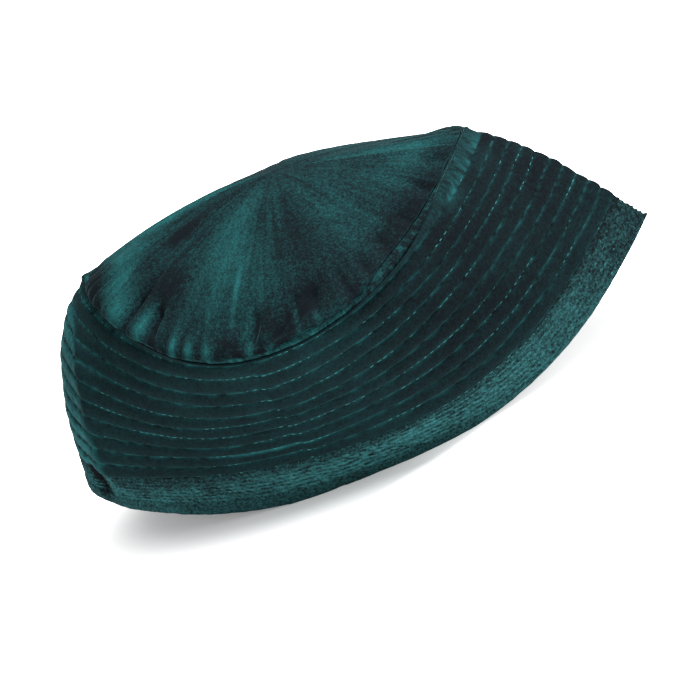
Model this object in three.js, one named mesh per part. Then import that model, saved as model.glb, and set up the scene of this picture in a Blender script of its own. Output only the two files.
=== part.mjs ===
// Velvet kufi, half opened from its storage fold and standing on its rim.
// Millimetres, +Z up. The long fold line of the crown runs along X, and the near side faces -Y.
// The cap is four sewn pieces: a gathered crown, the rolled seam round it,
// the quilted band below the seam, and the turned hem along the rim.
import * as THREE from 'three';
import { mergeVertices } from 'three/addons/utils/BufferGeometryUtils.js';

// Driving dimensions
const BAND_DROP = 82;
const STITCH_PITCH = 6.35;
const RIB_COUNT = 10;
const TOP_STRIP = 4.2;
const GROOVE_DEPTH = 1.1;
const RIB_CREST_INSET = 0.1;
const WALL = 3;
const HEM_WALL = 3.8;
const CROWN_WALL = 2.4;
const ROLL_RADIUS = 2.3;
const FOLD_PINCH = 0.35;
const PINCH_SPREAD = 12;
const GAP = 0.3;
// Clear space between the rolled seam and the band below it, which opens and closes with the flare
const ROLL_CLEARANCE = 0.9;
const INNER_ROWS = 4;
// Drop on each side of a ring over which the wall's slope is measured
const SLOPE_STEP = 1.6;
const HEM_TOP = TOP_STRIP + RIB_COUNT * STITCH_PITCH;

// Number of steps round the cap, from the left fold along the near side and back along the far side
const STEPS = 80;
// How much closer together the steps are at the two folds than on the sides, from 0 to 1
const FOLD_CROWDING = 0.45;
// Fine steps used to measure the length of a loop
const LENGTH_STEPS = 360;

// Half sizes and heights of the wall, in a plane through the two folds and across the middle.
// down: share of the way from the seam to the rim. left, right: reach of the two folds.
// near, far: reach of the sides. leftZ, rightZ, sideZ: heights there.
// leftRound, rightRound: below 1 a blunt rounded fold, above 1 a pointed one.
// rise: how late the edge climbs from the sides towards the folds.
const SECTIONS = [
  { down: 0, left: 81.5, right: 80.5, near: 79, far: 72, leftZ: 103, rightZ: 93,
    sideZ: 76, leftRound: 1.58, rightRound: 1.55, rise: 2.35 },
  { down: 0.32, left: 102.5, right: 98.3, near: 70.5, far: 64, leftZ: 84.5, rightZ: 76.2,
    sideZ: 52, leftRound: 1.2, rightRound: 1.7, rise: 2.4 },
  { down: 0.65, left: 114.5, right: 112.8, near: 59.5, far: 55, leftZ: 57.5, rightZ: 55.6,
    sideZ: 25.5, leftRound: 0.85, rightRound: 1.95, rise: 2.5 },
  { down: 1, left: 121.5, right: 127, near: 47, far: 45, leftZ: 28, rightZ: 33.5,
    sideZ: -2, leftRound: 0.62, rightRound: 2.1, rise: 2.6 },
];
// A pointed fold needs a deeper inset at its tip to keep the wall thickness on its two sides
const TIP_INSET = 1.5;

// Old crease of flat storage, pressed into the near side. It leaves the left fold under the seam and
// swings away from it as it goes down. at, slide and reach: shares of the way round. top, full, fading,
// rim: drops between which it grows to all of lift, and sinks back until little of it is left.
const CREASE = {
  at: 0.101, slide: 0.09, start: 8, lift: 4.2, reach: 0.026, top: 9, full: 26, fading: 58, rim: 80,
};
const CREASE_LEFT_AT_RIM = 0.12;
// The sewn rows don't run level. Below crowding they ride up towards the hem, most of all on the near
// side beside the round fold, and elsewhere all of them sit a little high. from, full, fading, end:
// shares of the way round between which that stretch grows and sinks back. sag: how far the upper
// rows hang down at its middle.
const ROWS = {
  crowding: 33, rise: 7.6, riseAll: 0.4, from: 0.08, full: 0.18, fading: 0.22, end: 0.335,
  high: 1.8, highFrom: 4, highFull: 24, sag: 2.2, sagDrop: 20, sagAt: 0.24, sagHeight: 11, sagWidth: 0.05,
};
// Small pocket where the hem buckles between the crease and the left fold
const POCKET = { at: 0.083, drop: 70.5, depth: 4.5, width: 0.009, height: 5.5 };

// Middle of the crown, where the gathers meet, and how far its cloth swells above straight rays
const CROWN_CENTRE = new THREE.Vector3(6.5, 0, 110.6);
const LEFT_SWELL = 4.2;
const RIGHT_SWELL = 0;
const SIDE_SWELL = 6;
const CENTRE_DIMPLE = 1.2;
const DIMPLE_REACH = 0.16;
// Shares of the way out from the centre to the seam, for the rings of the top and of the underside
const TOP_OUTS = [0.14, 0.3, 0.46, 0.62, 0.77, 0.89, 0.96];
const UNDER_OUTS = [0.75, 0.5, 0.25];

// Stretch of the near side where the gathers are full and bulge out over the rolled seam, as shares
// of the way round, and how high their cloth rises there
const FULL_STRETCH = { start: 0.03, full: 0.08, fading: 0.285, end: 0.345 };
const FULLNESS = 2.8;
// Edge of the crown beside the rolled seam, from its top corner to its bottom one. plain, full:
// degrees round the roll from the ray to the centre, where the seam stands clear and where the
// gathers are full. plainClear, fullClear: distance from the roll. pinch: share of a fold's depth.
const EDGE_ROWS = [
  { plain: 25, full: 62, plainClear: 0.56, fullClear: 2.4, pinch: 0.3 },
  { plain: 18, full: 98, plainClear: 0.5, fullClear: 2, pinch: 0.3 },
  { plain: 11, full: 126, plainClear: 0.45, fullClear: 1.6, pinch: 0.2 },
  { plain: 4, full: 124, plainClear: 0.4, fullClear: 0.6, pinch: 0 },
  { plain: -3, full: 90, plainClear: 0.4, fullClear: 0.6, pinch: 0 },
  { plain: -10, full: 54, plainClear: 0.4, fullClear: 0.6, pinch: 0 },
  { plain: -17, full: 18, plainClear: 0.5, fullClear: 0.6, pinch: 0 },
  { plain: -25, full: -25, plainClear: 0.56, fullClear: 0.56, pinch: 0 },
];

// Folds and gathers of the crown. at: share of the way round the cap, with the near side from
// 0 to 0.5. depth: how far the cloth sinks. width: share of the way round. from: share of the
// way from the centre to the seam where the fold begins.
const CROWN_FOLDS = [
  { at: 0.02, depth: 2, width: 0.012, from: 0.5 },
  { at: 0.052, depth: 2.2, width: 0.012, from: 0.55 },
  { at: 0.088, depth: 1.6, width: 0.012, from: 0.6 },
  { at: 0.132, depth: 4, width: 0.01, from: 0.65 },
  { at: 0.162, depth: 3.2, width: 0.01, from: 0.75 },
  { at: 0.2, depth: 1.4, width: 0.01, from: 0.8 },
  { at: 0.234, depth: 3.6, width: 0.01, from: 0.78 },
  { at: 0.262, depth: 3, width: 0.01, from: 0.75 },
  { at: 0.294, depth: 2, width: 0.01, from: 0.72 },
  { at: 0.33, depth: 1.6, width: 0.012, from: 0.7 },
  { at: 0.36, depth: 1.5, width: 0.012, from: 0.65 },
  { at: 0.4, depth: 1.4, width: 0.012, from: 0.6 },
  { at: 0.44, depth: 1.3, width: 0.012, from: 0.6 },
  { at: 0.475, depth: 1.4, width: 0.012, from: 0.6 },
  { at: 0.53, depth: 1.8, width: 0.012, from: 0.5 },
  { at: 0.58, depth: 2.4, width: 0.012, from: 0.55 },
  { at: 0.63, depth: 1.6, width: 0.012, from: 0.6 },
  { at: 0.675, depth: 2.2, width: 0.012, from: 0.55 },
  { at: 0.72, depth: 1.8, width: 0.012, from: 0.65 },
  { at: 0.765, depth: 2.4, width: 0.012, from: 0.6 },
  { at: 0.81, depth: 1.6, width: 0.012, from: 0.5 },
  { at: 0.86, depth: 2.2, width: 0.012, from: 0.55 },
  { at: 0.91, depth: 2.6, width: 0.012, from: 0.5 },
  { at: 0.96, depth: 2, width: 0.012, from: 0.45 },
];

// Colours of the dyed velvet
const CROWN_COLOUR = '#1f4b4a';
const SEAM_COLOUR = '#23514f';
const BAND_COLOUR = '#16383a';
const HEM_COLOUR = '#1b4344';

// Every column of the section table at one share of the way down, on a cubic through its rows
function sectionAt(down) {
  const section = {};
  for (const column of Object.keys(SECTIONS[0])) {
    section[column] = 0;
    for (const row of SECTIONS) {
      let weight = 1;
      for (const other of SECTIONS) {
        if (other !== row) weight *= (down - other.down) / (row.down - other.down);
      }
      section[column] += weight * row[column];
    }
  }
  return section;
}

// A point of the wall's edge at one height. angle runs from PI at the left fold to 0 at the right
// one along the near side, and on to -PI along the far side.
function loopPoint(section, angle, inset = 0) {
  const along = Math.cos(angle);
  const across = Math.abs(Math.sin(angle));
  const isNear = angle >= 0;
  const reach = along < 0 ? section.left : section.right;
  const side = isNear ? section.near : section.far;
  const foldShare = (1 + along) / 2;
  const roundness = THREE.MathUtils.lerp(section.leftRound, section.rightRound, foldShare);
  const tipInset = inset * THREE.MathUtils.lerp(1, TIP_INSET, foldShare);
  const foldZ = along < 0 ? section.leftZ : section.rightZ;
  return new THREE.Vector3(
    along * (reach - tipInset),
    (isNear ? -1 : 1) * (side - inset) * across ** roundness,
    section.sideZ + (foldZ - section.sideZ) * Math.abs(along) ** section.rise,
  );
}

// Angles of the steps round one half of a loop, spaced by its length and closer at the folds
function halfAngles(section, sign) {
  const lengths = [0];
  let last = loopPoint(section, sign * Math.PI);
  for (let i = 1; i <= LENGTH_STEPS; i += 1) {
    const next = loopPoint(section, sign * Math.PI * (1 - i / LENGTH_STEPS));
    lengths.push(lengths[i - 1] + next.distanceTo(last));
    last = next;
  }
  const angles = [];
  const half = STEPS / 2;
  let k = 0;
  for (let i = 0; i <= half; i += 1) {
    const share = i / half;
    const crowded = share - FOLD_CROWDING * Math.sin(2 * Math.PI * share) / (2 * Math.PI);
    const wanted = crowded * lengths[LENGTH_STEPS];
    while (k < LENGTH_STEPS - 1 && lengths[k + 1] < wanted) k += 1;
    const part = (wanted - lengths[k]) / (lengths[k + 1] - lengths[k]);
    angles.push(sign * Math.PI * (1 - (k + Math.min(part, 1)) / LENGTH_STEPS));
  }
  return angles;
}

// Angles of all the steps round the cap
function loopAngles(section) {
  const near = halfAngles(section, 1);
  const far = halfAngles(section, -1).reverse();
  return [...near.slice(0, -1), ...far.slice(0, -1)];
}

// Angles of the steps for a loop at every whole millimetre of drop, a little beyond both edges
const SPARE_DROP = 4;
const LOOP_ANGLES = [];
for (let drop = -SPARE_DROP; drop <= BAND_DROP + SPARE_DROP; drop += 1) {
  LOOP_ANGLES.push(loopAngles(sectionAt(drop / BAND_DROP)));
}

function angleAt(drop, step) {
  const place = THREE.MathUtils.clamp(drop + SPARE_DROP, 0, LOOP_ANGLES.length - 1.001);
  const row = Math.floor(place);
  return THREE.MathUtils.lerp(LOOP_ANGLES[row][step], LOOP_ANGLES[row + 1][step], place - row);
}

// Where a sewn row lies: its drop if all rows were level, moved by the way that they run
function rowDrop(level, around) {
  const { smoothstep, clamp } = THREE.MathUtils;
  const stretch = smoothstep(around, ROWS.from, ROWS.full) * (1 - smoothstep(around, ROWS.fading, ROWS.end));
  const toHem = clamp((level - ROWS.crowding) / (HEM_TOP - ROWS.crowding), 0, 1);
  const toRim = clamp((BAND_DROP - level) / (BAND_DROP - HEM_TOP), 0, 1);
  const rise = (ROWS.riseAll + ROWS.rise * stretch) * toHem;
  const high = ROWS.high * smoothstep(level, ROWS.highFrom, ROWS.highFull) * (1 - stretch);
  const below = (level - ROWS.sagDrop) / ROWS.sagHeight;
  const aside = (around - ROWS.sagAt) / ROWS.sagWidth;
  return level + ROWS.sag * Math.exp(-below * below - aside * aside) - (rise + high) * toRim;
}

// How far the old crease stands out from the wall, less the pocket beside it
function creaseLift(drop, around) {
  const at = CREASE.at - CREASE.slide * Math.exp(-(drop - CREASE.start) / CREASE.start);
  const grown = THREE.MathUtils.smoothstep(drop, CREASE.top, CREASE.full);
  const faded = 1 - (1 - CREASE_LEFT_AT_RIM) * THREE.MathUtils.smoothstep(drop, CREASE.fading, CREASE.rim);
  const ridge = CREASE.lift * grown * faded * Math.exp(-Math.abs(around - at) / CREASE.reach);
  const aside = (around - POCKET.at) / POCKET.width;
  const above = (drop - POCKET.drop) / POCKET.height;
  return ridge - POCKET.depth * Math.exp(-aside * aside - above * above);
}

function loopPointAt(drop, step) {
  return loopPoint(sectionAt(drop / BAND_DROP), angleAt(drop, step));
}

// One ring of the wall, inset from its outer face along the wall's own normal. level: its drop below
// the seam before the rows are moved.
function wallRing(level, inset) {
  return LOOP_ANGLES[0].map((_, i) => {
    const drop = rowDrop(level, i / STEPS);
    const section = sectionAt(drop / BAND_DROP);
    const angle = angleAt(drop, i);
    const base = loopPoint(section, angle);
    const inward = loopPoint(section, angle, 1).sub(base).normalize();
    const fall = loopPointAt(drop + SLOPE_STEP, i).sub(loopPointAt(drop - SLOPE_STEP, i));
    const flare = Math.atan2(-fall.dot(inward), -fall.z);
    const depth = inset - creaseLift(drop, i / STEPS);
    const point = loopPoint(section, angle, depth * Math.cos(flare));
    point.z -= depth * Math.sin(flare);
    point.z = Math.max(point.z, 0);
    return point;
  });
}

// Closed surface through rings of points, the last ring joined to the first
function ringSolid(rings) {
  const positions = [];
  const quad = (a, b, c, d) => {
    for (const point of [a, b, c, a, c, d]) positions.push(point.x, point.y, point.z);
  };
  rings.forEach((ring, r) => {
    const next = rings[(r + 1) % rings.length];
    ring.forEach((point, i) => {
      const j = (i + 1) % ring.length;
      quad(point, next[i], next[j], ring[j]);
    });
  });
  return positions;
}

// Triangles that close a ring to one point
function fan(ring, tip, outward) {
  const positions = [];
  ring.forEach((point, i) => {
    const next = ring[(i + 1) % ring.length];
    const order = outward ? [point, next, tip] : [next, point, tip];
    for (const corner of order) positions.push(corner.x, corner.y, corner.z);
  });
  return positions;
}

function velvetMesh(name, positions, colour) {
  let geometry = new THREE.BufferGeometry();
  geometry.setAttribute('position', new THREE.Float32BufferAttribute(positions, 3));
  geometry = mergeVertices(geometry, 1e-3);
  geometry.computeVertexNormals();
  const material = new THREE.MeshStandardMaterial({ color: colour, roughness: 0.95, metalness: 0 });
  const mesh = new THREE.Mesh(geometry, material);
  mesh.name = name;
  return mesh;
}

// 1 at the two folds and 0 half way between them, at one step round the cap
function foldNearness(step) {
  return Math.cos(2 * Math.PI * step / STEPS) ** 2;
}

// Radius of the rolled seam at one step round the cap, less where the two folds pinch it
function rollRadius(step) {
  return ROLL_RADIUS * (1 - FOLD_PINCH * foldNearness(step) ** PINCH_SPREAD);
}

// Rolled seam between crown and band, a soft cord of cloth round the top of the wall
function crownSeam() {
  const SIDES = 8;
  const centres = wallRing(0, WALL / 2);
  const outer = wallRing(0, 0);
  const rings = [];
  for (let i = 0; i < SIDES; i += 1) {
    const turn = 2 * Math.PI * i / SIDES;
    rings.push(centres.map((centre, k) => {
      const outward = outer[k].clone().sub(centre).setZ(0).normalize();
      const point = centre.clone().addScaledVector(outward, rollRadius(k) * Math.cos(turn));
      point.z -= rollRadius(k) * Math.sin(turn);
      return point;
    }));
  }
  return velvetMesh('crown_seam', ringSolid(rings), SEAM_COLOUR);
}

// How far the folds pull the crown down at one place
function foldDepth(around, out) {
  let depth = 0;
  for (const fold of CROWN_FOLDS) {
    const aside = (around - fold.at) / fold.width;
    const reach = THREE.MathUtils.smoothstep(out, fold.from, 1);
    depth += fold.depth * Math.exp(-aside * aside) * reach;
  }
  return depth;
}

// 1 where the crown's gathers bulge out over the seam, 0 where the seam stands clear
function fullness(around) {
  const grown = THREE.MathUtils.smoothstep(around, FULL_STRETCH.start, FULL_STRETCH.full);
  return grown * (1 - THREE.MathUtils.smoothstep(around, FULL_STRETCH.fading, FULL_STRETCH.end));
}

// Gathered crown, a thin disc draped from its centre to the rolled seam, and over it on the near side
function crown() {
  const centres = wallRing(0, WALL / 2);
  const edges = centres.map((centre) => {
    const ray = CROWN_CENTRE.clone().sub(centre).normalize();
    return centre.clone().addScaledVector(ray, ROLL_RADIUS + GAP);
  });
  const ring = (out, under) => edges.map((edge, i) => {
    const point = CROWN_CENTRE.clone().lerp(edge, out);
    const ridgeSwell = edge.x < CROWN_CENTRE.x ? LEFT_SWELL : RIGHT_SWELL;
    const swell = THREE.MathUtils.lerp(SIDE_SWELL, ridgeSwell, foldNearness(i));
    const dimple = CENTRE_DIMPLE * Math.exp(-((out / DIMPLE_REACH) ** 2));
    const rise = FULLNESS * fullness(i / STEPS) * THREE.MathUtils.smoothstep(out, 0.45, 0.9);
    point.z += swell * 4 * out * (1 - out) + rise - dimple - foldDepth(i / STEPS, out);
    point.z += CROWN_WALL / 2 - under;
    return point;
  });
  const edgeRing = (row) => centres.map((centre, i) => {
    const inward = CROWN_CENTRE.clone().sub(centre).normalize();
    const full = fullness(i / STEPS);
    const degrees = THREE.MathUtils.lerp(row.plain, row.full, full);
    const angle = Math.asin(inward.z) + THREE.MathUtils.degToRad(degrees);
    const clear = THREE.MathUtils.lerp(row.plainClear, row.fullClear, full);
    const radius = rollRadius(i) + clear - row.pinch * full * foldDepth(i / STEPS, 1);
    const point = centre.clone().addScaledVector(inward.setZ(0).normalize(), radius * Math.cos(angle));
    point.z += radius * Math.sin(angle);
    return point;
  });
  const rings = [
    ...TOP_OUTS.map((out) => ring(out, 0)),
    ...EDGE_ROWS.map(edgeRing),
    ...UNDER_OUTS.map((out) => ring(out, CROWN_WALL)),
  ];
  const skin = ringSolid(rings);
  const openStrip = 6 * 3 * STEPS;
  skin.length -= openStrip;
  const top = ring(0, 0)[0];
  const under = ring(0, CROWN_WALL)[0];
  const positions = [...skin, ...fan(rings[0], top, true), ...fan(rings[rings.length - 1], under, false)];
  return velvetMesh('crown', positions, CROWN_COLOUR);
}

// Quilted band, ten padded ribs between eleven stitched grooves
function band() {
  const top = ROLL_RADIUS + ROLL_CLEARANCE;
  const profile = [[top, GROOVE_DEPTH / 2], [TOP_STRIP, GROOVE_DEPTH]];
  for (let rib = 0; rib < RIB_COUNT; rib += 1) {
    const start = TOP_STRIP + rib * STITCH_PITCH;
    profile.push([start + 0.25 * STITCH_PITCH, RIB_CREST_INSET]);
    profile.push([start + 0.75 * STITCH_PITCH, RIB_CREST_INSET]);
    if (rib < RIB_COUNT - 1) profile.push([start + STITCH_PITCH, GROOVE_DEPTH]);
  }
  const bottom = HEM_TOP - GAP / 2;
  profile.push([bottom, GROOVE_DEPTH]);
  for (let i = 0; i <= INNER_ROWS; i += 1) {
    profile.push([THREE.MathUtils.lerp(bottom, top, i / INNER_ROWS), WALL]);
  }
  return velvetMesh('band', ringSolid(profile.map(([drop, inset]) => wallRing(drop, inset))), BAND_COLOUR);
}

// Turned hem, a pressed stitched strip above a soft rolled lower edge
function hem() {
  const top = HEM_TOP + GAP / 2;
  const profile = [
    { drop: top, inset: GROOVE_DEPTH },
    { drop: top + 1.2, inset: 0.4 },
    { drop: BAND_DROP - 4.4, inset: 0.5 },
    { drop: BAND_DROP - 3.6, inset: 0.9 },
    { drop: BAND_DROP - 2.6, inset: 0 },
    { drop: BAND_DROP - 0.7, inset: 0 },
    { drop: BAND_DROP, inset: 0.8 },
    { drop: BAND_DROP, inset: HEM_WALL - 0.8 },
    { drop: BAND_DROP - 1, inset: HEM_WALL },
    { drop: top + 4, inset: HEM_WALL },
    { drop: top, inset: WALL },
  ];
  return velvetMesh('hem', ringSolid(profile.map((row) => wallRing(row.drop, row.inset))), HEM_COLOUR);
}

const kufi = new THREE.Group();
kufi.add(crown(), crownSeam(), band(), hem());

// The cap stands on the floor with the middle of its outer box over the origin
const box = new THREE.Box3().setFromObject(kufi);
const middle = box.getCenter(new THREE.Vector3());
for (const piece of kufi.children) piece.geometry.translate(-middle.x, -middle.y, -box.min.z);

export default kufi;
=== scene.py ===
# %% [markdown]
# A velvet kufi, sewn from four pieces: a gathered crown, a rolled seam, a quilted band and a turned hem.
# It was folded flat, then half opened and stood on its rim, so it has a round fold and a sharp one.
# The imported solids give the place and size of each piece. Here each one is modelled again with its fine
# ribs, gathers, stitches and pile, and takes the place of its plain solid.

# %% Load the frame
import math

import bmesh
import bpy
import numpy as np
from mathutils import Matrix, Vector, noise


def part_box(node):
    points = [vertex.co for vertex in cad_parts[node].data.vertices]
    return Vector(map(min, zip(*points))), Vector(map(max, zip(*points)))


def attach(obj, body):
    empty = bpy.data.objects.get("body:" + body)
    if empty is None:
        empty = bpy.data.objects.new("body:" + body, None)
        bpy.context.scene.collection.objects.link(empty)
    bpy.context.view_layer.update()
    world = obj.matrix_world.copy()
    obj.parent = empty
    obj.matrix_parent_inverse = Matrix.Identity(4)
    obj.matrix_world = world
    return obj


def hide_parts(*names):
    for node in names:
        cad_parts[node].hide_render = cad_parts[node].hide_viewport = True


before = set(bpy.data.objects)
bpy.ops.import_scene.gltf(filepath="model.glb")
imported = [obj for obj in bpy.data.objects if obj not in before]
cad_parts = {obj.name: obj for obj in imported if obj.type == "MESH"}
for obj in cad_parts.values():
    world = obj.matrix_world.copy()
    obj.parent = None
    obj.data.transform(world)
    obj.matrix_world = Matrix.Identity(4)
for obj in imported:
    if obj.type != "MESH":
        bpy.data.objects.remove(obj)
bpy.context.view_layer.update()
MM = 0.001

# %% [markdown]
# The wall of the cap is one strip of cloth 82 mm deep. Its shape is easiest to say as a few loops round
# it. Each has a reach to the left fold, the right fold, the near side and the far side, a height at each
# fold and at the sides, a bluntness for each end, and a power that tells how late it climbs to the folds.
# The same sizes shape the solids, so a finer surface drawn from them lies where the solids lie. A cubic
# through the four rows gives any loop between them.

# %% Sizes of the cap, in millimetres
BAND_DROP = 82.0
STITCH_PITCH = 6.35
RIB_COUNT = 10
TOP_STRIP = 4.2
WALL = 3.0
HEM_WALL = 3.8
CROWN_WALL = 2.4
ROLL_RADIUS = 2.3
GAP = 0.3
HEM_TOP = TOP_STRIP + RIB_COUNT * STITCH_PITCH

COLUMNS = ("down", "left", "right", "near", "far", "left_z", "right_z", "side_z",
           "left_round", "right_round", "rise")
SECTIONS = np.array([
    (0.00, 81.5, 80.5, 79.0, 72.0, 103.0, 93.0, 76.0, 1.58, 1.55, 2.35),
    (0.32, 102.5, 98.3, 70.5, 64.0, 84.5, 76.2, 52.0, 1.20, 1.70, 2.40),
    (0.65, 114.5, 112.8, 59.5, 55.0, 57.5, 55.6, 25.5, 0.85, 1.95, 2.50),
    (1.00, 121.5, 127.0, 47.0, 45.0, 28.0, 33.5, -2.0, 0.62, 2.10, 2.60),
])
# an inset goes further at a fold's tip by this factor, points crowd at the folds by this share, and the
# wall's slope is taken over this much drop to each side
TIP_INSET, FOLD_CROWDING, SLOPE_STEP = 1.5, 0.45, 1.6


def section_at(drop):
    down, rows = np.asarray(drop, float) / BAND_DROP, SECTIONS[:, 0]
    weights = [np.prod([(down - other) / (row - other) for other in rows if other != row], axis=0)
               for row in rows]
    return dict(zip(COLUMNS, np.tensordot(SECTIONS.T, np.array(weights), 1)))


print("loop half way down:", {k: round(float(v), 1) for k, v in section_at(BAND_DROP / 2).items()})

# %% [markdown]
# A loop is an ellipse whose two ends are made blunter or sharper by a power. Its points are spaced by
# length, a little closer at the folds, so that one turn of the cap always means the same place on the
# cloth from the seam down to the rim. turn runs from 0 at the left fold along the near side to 0.5 at
# the right fold, and back along the far side to 1. The angles that space the points take a sum along
# the loop, so they are worked out once for a grid of drops and turns, and read from it afterwards.


# %% Loops round the cap
LOOP_STEPS = 721


def loop_points(section, angle, inset=0.0):
    along, across = np.cos(angle), np.abs(np.sin(angle))
    near = angle >= 0
    fold = (1 + along) / 2
    reach = np.where(along < 0, section["left"], section["right"])
    reach = reach - inset * (1 + (TIP_INSET - 1) * fold)
    side = np.where(near, -1.0, 1.0) * (np.where(near, section["near"], section["far"]) - inset)
    power = section["left_round"] + (section["right_round"] - section["left_round"]) * fold
    climb = np.where(along < 0, section["left_z"], section["right_z"]) - section["side_z"]
    height = section["side_z"] + climb * np.abs(along) ** section["rise"]
    return np.stack([along * reach, side * across ** power, height], axis=-1)


def lengths_along(points):
    return np.concatenate([[0.0], np.cumsum(np.linalg.norm(np.diff(points, axis=0), axis=1))])


def loop_angles(section, turn):
    angles = np.empty_like(turn)
    for sign, half, share in ((1, turn <= 0.5, 2 * turn), (-1, turn > 0.5, 2 - 2 * turn)):
        fine = sign * np.pi * (1 - np.linspace(0, 1, LOOP_STEPS))
        lengths = lengths_along(loop_points(section, fine))
        crowded = share - FOLD_CROWDING * np.sin(2 * np.pi * share) / (2 * np.pi)
        angles[half] = np.interp(crowded[half] * lengths[-1], lengths, fine)
    return angles


# a drop for each millimetre, from a little above the seam to a little below the rim
GRID_DROPS = np.arange(-4.0, BAND_DROP + 5.0)
GRID_TURNS = np.linspace(0, 1, 1201)
JUST_INSIDE = 1.001
GRID_ANGLES = np.array([loop_angles(section_at(drop), GRID_TURNS) for drop in GRID_DROPS])


def angle_at(drop, turn):
    row = np.clip(drop - GRID_DROPS[0], 0, len(GRID_DROPS) - JUST_INSIDE)
    column = np.clip(turn * (len(GRID_TURNS) - 1), 0, len(GRID_TURNS) - JUST_INSIDE)
    above, before = row.astype(int), column.astype(int)
    down, on = row - above, column - before
    top, bottom = (GRID_ANGLES[line, before] * (1 - on) + GRID_ANGLES[line, before + 1] * on
                   for line in (above, above + 1))
    return top * (1 - down) + bottom * down


def loop_at(drop, turn, inset=0.0):
    return loop_points(section_at(drop), angle_at(drop, turn), inset)


print("angle grid", GRID_ANGLES.shape)

# %% [markdown]
# Nothing on cloth begins or ends sharply, so every change here is one of a few smooth curves: a step, a
# plateau between two steps, and a bell. A mark is a bell in two directions, told by its turn, its place,
# its two widths and its height. What changes later along the near side stays so over the far side.

# %% Smooth curves
FAR_SIDE_ENDS = (0.93, 1.0)


def smooth_step(value, low, high):
    share = np.clip((value - low) / (high - low), 0, 1)
    return share * share * (3 - 2 * share)


def plateau(value, low, high, high_end, low_end):
    """0 up to low, 1 from high to high_end, and 0 again from low_end on."""
    return smooth_step(value, low, high) * (1 - smooth_step(value, high_end, low_end))


def bell(value, middle, width):
    return np.exp(-(((value - middle) / width) ** 2))


def turns_apart(turn, other):
    return (turn - other + 0.5) % 1 - 0.5


def mark(turn, place, at, where, wide, long, height):
    return height * bell(turns_apart(turn, at), 0, wide) * bell(place, where, long)


def later(turn, height, low, high):
    """Grows to height between two turns on the near side, and falls just before the left fold."""
    return height * plateau(turn, low, high, *FAR_SIDE_ENDS)


print("a quarter up a step", float(smooth_step(0.25, 0, 1)))

# %% [markdown]
# Flat storage has left its marks on the wall. An old crease runs down the near side beside the round
# fold: it starts at the fold under the seam and swings out to the front as it goes down. The wall
# turns sharply there, and at the rim the hem buckles into a small pocket behind it. Inset is measured
# from the wall's face along its own normal, and the crease is a negative inset, for the whole wall.

# %% The wall, with its crease
# its turn at the rim, how far it slides to get there, and the drop where it starts
CREASE_TURN, CREASE_SLIDE, CREASE_START = 0.101, 0.09, 8.0
# its height in mm, and its reach to each side and the width of its top in turns
CREASE_LIFT, CREASE_REACH, CREASE_ROUND = 4.2, 0.026, 0.0016
# drops over which it grows and fades, and the share that is left of it at the rim
CREASE_GROWS, CREASE_FADES, CREASE_LEFT_AT_RIM = (9.0, 26.0), (58.0, 80.0), 0.12
POCKET = (0.083, 70.5, 0.0065, 5.5, 4.5)


def crease_at(drop):
    return CREASE_TURN - CREASE_SLIDE * np.exp(-(drop - CREASE_START) / CREASE_START)


def crease_lift(drop, turn):
    away = np.sqrt((turn - crease_at(drop)) ** 2 + CREASE_ROUND ** 2) / CREASE_REACH
    faded = 1 - (1 - CREASE_LEFT_AT_RIM) * smooth_step(drop, *CREASE_FADES)
    lift = CREASE_LIFT * np.exp(-away) * smooth_step(drop, *CREASE_GROWS) * faded
    return lift - mark(turn, drop, *POCKET)


def unit(vectors):
    return vectors / np.linalg.norm(vectors, axis=-1, keepdims=True)


def wall(drop, turn, inset=0.0):
    """Points in millimetres, by drop below the seam, turn round the cap and inset into the cloth."""
    drop, turn = np.asarray(drop, float), np.asarray(turn, float) % 1.0
    drop, turn, inset = np.broadcast_arrays(drop, turn, inset)
    section, angle = section_at(drop), angle_at(drop, turn)
    inward = unit(loop_points(section, angle, 1.0) - loop_points(section, angle))
    fall = loop_at(drop + SLOPE_STEP, turn) - loop_at(drop - SLOPE_STEP, turn)
    flare = np.arctan2(-(fall * inward).sum(axis=-1), -fall[..., 2])
    depth = inset - crease_lift(drop, turn)
    points = loop_points(section, angle, depth * np.cos(flare))
    points[..., 2] = np.maximum(points[..., 2] - depth * np.sin(flare), 0.0)
    return points


def ring_length(points):
    closed = np.vstack([points, points[:1]])
    return np.linalg.norm(np.diff(closed, axis=0), axis=1).sum()


ALL_ROUND = np.linspace(0, 1, LOOP_STEPS)[:-1]
EDGE_DROP = 81.3
edge_ring, seam_ring = wall(EDGE_DROP, ALL_ROUND), loop_at(0.0, ALL_ROUND, WALL / 2)
hem_box, seam_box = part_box("hem"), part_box("crown_seam")
hem_middle, seam_middle = (hem_box[0].x + hem_box[1].x) / 2 / MM, (seam_box[0].y + seam_box[1].y) / 2 / MM
# the solids are centred on the origin, and this moves the pieces there too
SHIFT = np.array([hem_middle - (edge_ring[:, 0].min() + edge_ring[:, 0].max()) / 2,
                  seam_middle - (seam_ring[:, 1].min() + seam_ring[:, 1].max()) / 2, 0.0])
SEAM_ROUND, RIM_ROUND = ring_length(seam_ring), ring_length(edge_ring)
print("rim", round(RIM_ROUND), "mm round, seam", round(SEAM_ROUND), "mm, shift", SHIFT.round(3))

# %% [markdown]
# Every piece here is a thin closed skin that goes once round the cap. A flat grid from bmesh is laid
# along it: its columns go round, and its rows go down the outside and back up the inside. Where the
# grid meets itself the doubled points are merged, which closes the skin, and the sign of its volume
# tells whether its faces point out. Each point also carries a number called nap, above zero where the
# pile has been brushed so that it catches the light. Nap also holds painted shade and painted
# highlights, where shade and light are painted into the colour.

# %% From rings to a closed skin
AROUND = 640
TURNS = np.arange(AROUND) / AROUND
MERGED_WITHIN = 0.003
SEED_STEP = 31.7


def new_object(name, data):
    thing = bpy.data.objects.new(name, data)
    bpy.context.scene.collection.objects.link(thing)
    return thing


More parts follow.
